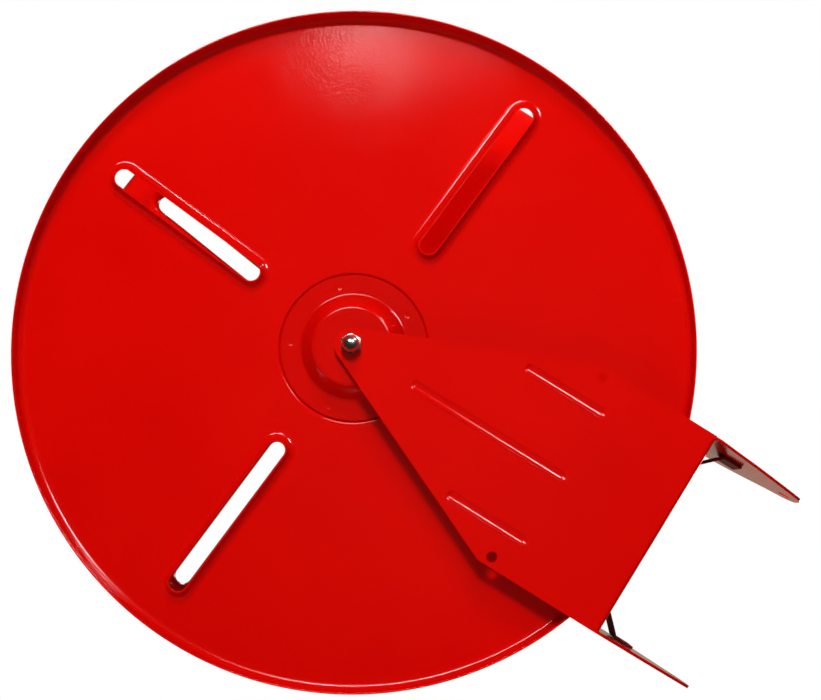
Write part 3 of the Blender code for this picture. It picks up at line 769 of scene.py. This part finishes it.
for node, look in {
    "front_bush": NYLON, "rear_bush": NYLON, "swivel_housing": BRASS, "outlet_pipe": BRASS,
    "outlet_lock_nut": BRASS, "outlet_grommet": RUBBER, "spindle": BRASS,
    "lock_washer": ZINC, "front_o_ring": RUBBER, "rear_o_ring": RUBBER,
    "friction_washer": FIBRE, "disc_spring": ZINC, "retaining_ring": ZINC, "inlet_seal": FIBRE,
}.items():
    mesh = frame["nodes"][node].data
    mesh.materials.clear()
    mesh.materials.append(look)


# Light, floor and camera

def area_light(name, place, size, watts, seen="both", aim=LAMP_AIM):
    """An oval lamp, wide along the view's level, that lights surfaces, shows in their gloss, or does both."""
    data = bpy.data.lights.new(name, "AREA")
    data.shape = "ELLIPSE"
    data.size, data.size_y = size
    data.energy = watts
    lamp = bpy.data.objects.new(name, data)
    place, aim = REEL @ Vector(place), REEL @ Vector(aim)
    back = (place - aim).normalized()
    level = REEL.to_3x3() @ Vector((*polar(1, VIEW_LEVEL), 0))
    across = level.cross(back).cross(back).normalized() * -1
    turn = Matrix((across, back.cross(across), back)).transposed().to_4x4()
    lamp.matrix_world = Matrix.Translation(place) @ turn
    lamp.visible_camera = False
    lamp.visible_glossy = seen != "diffuse"
    lamp.visible_diffuse = seen != "glossy"
    bpy.context.scene.collection.objects.link(lamp)


def studio():
    """White surroundings behind the object, a dark room before it, and soft lamps above."""
    scene = bpy.context.scene
    scene.view_settings.view_transform = "Standard"
    world = bpy.data.worlds.new("studio")
    scene.world = world
    world.use_nodes = True
    tree = world.node_tree
    background = tree.nodes["Background"]
    tint = tree.nodes.new("ShaderNodeMix")
    tint.data_type = "RGBA"
    tint.inputs["A"].default_value = WARM_WHITE
    tint.inputs["B"].default_value = (1, 1, 1, 1)
    tree.links.new(tint.outputs["Result"], background.inputs["Color"])
    place = tree.nodes.new("ShaderNodeTexCoord")
    split = tree.nodes.new("ShaderNodeSeparateXYZ")
    behind = tree.nodes.new("ShaderNodeMapRange")
    behind.inputs["From Min"].default_value = BACKDROP_START
    behind.inputs["From Max"].default_value = BACKDROP_FULL
    behind.inputs["To Min"].default_value = DARK_SIDE
    behind.inputs["To Max"].default_value = BRIGHT_SIDE
    path = tree.nodes.new("ShaderNodeLightPath")
    tree.links.new(path.outputs["Is Camera Ray"], tint.inputs["Factor"])
    ambient = tree.nodes.new("ShaderNodeMath")
    ambient.operation = "MULTIPLY"
    ambient.inputs[1].default_value = AMBIENT
    tree.links.new(place.outputs["Generated"], split.inputs["Vector"])
    tree.links.new(split.outputs["Y"], behind.inputs["Value"])
    tree.links.new(path.outputs["Is Diffuse Ray"], ambient.inputs[0])
    strength = behind.outputs["Result"]
    for part in (ambient.outputs["Value"], path.outputs["Is Camera Ray"]):
        brightest = tree.nodes.new("ShaderNodeMath")
        brightest.operation = "MAXIMUM"
        tree.links.new(strength, brightest.inputs[0])
        tree.links.new(part, brightest.inputs[1])
        strength = brightest.outputs["Value"]
    tree.links.new(strength, background.inputs["Strength"])

    area_light("gloss", (-750, -910, -3000), (0.2, 0.1), 0.6, "glossy")
    area_light("left_strip", (-990, -970, -1880), (1.3, 0.26), 24, "glossy")
    area_light("right_strip", (427, -1679, -1880), (0.7, 0.45), 24, "glossy")
    area_light("crest", (435, -2383, -137), (0.5, 0.25), 10, "glossy", aim=(240, -95, -20))
    area_light("main", (-505, -887, -1924), (0.45, 0.45), 36, "diffuse")
    area_light("high", (-884, -1493, -1293), (0.6, 0.6), 18, "diffuse")
    area_light("overhead", (0, -1150, 60), (0.5, 0.25), 22, "diffuse", aim=(0, -150, 165))
    area_light("front_fill", (0, -200, -2800), (1.2, 1.2), 3.5, "diffuse")
    area_light("rear_left", (-900, -700, 1500), (0.8, 0.8), 16)
    area_light("rear_right", (1200, -500, 1500), (0.8, 0.8), 10)


def floor():
    """A plain pale floor far below the hanging reel, which it lights without showing in its gloss."""
    mesh = bpy.data.meshes.new("floor")
    reach, level = FLOOR_REACH, CAD_BOX[0][2] - FLOOR_DROP
    corners = [(-reach, -reach), (reach, -reach), (reach, reach), (-reach, reach)]
    mesh.from_pydata([(x, y, level) for x, y in corners], [], [(0, 1, 2, 3)])
    made = bpy.data.objects.new("floor", mesh)
    grey = (FLOOR_GREY, FLOOR_GREY, FLOOR_GREY)
    look = shader("floor", grey, 0.9, Emission_Color=(1, 1, 1, 1), Emission_Strength=FLOOR_GLOW)
    mesh.materials.append(look)
    made.visible_glossy = False
    bpy.context.scene.collection.objects.link(made)


def camera():
    """A long lens level with the drum's lower half, rolled so that the arm points down to the right."""
    data = bpy.data.cameras.new("camera")
    data.sensor_fit = "HORIZONTAL"
    data.sensor_width = SENSOR_WIDTH
    data.lens = LENS
    made = bpy.data.objects.new("camera", data)
    turn = Vector(VIEW_TURN)
    look = Matrix.Rotation(turn.length, 3, turn.normalized())
    flip = Matrix(((1, 0, 0), (0, -1, 0), (0, 0, -1)))
    pose = (look.transposed() @ flip).to_4x4()
    pose.translation = look.transposed() @ -Vector(VIEW_SHIFT)
    world = REEL @ pose
    made.matrix_world = Matrix.Translation(world.translation) @ world.to_quaternion().to_matrix().to_4x4()
    bpy.context.scene.collection.objects.link(made)
    bpy.context.scene.camera = made


studio()
floor()
camera()
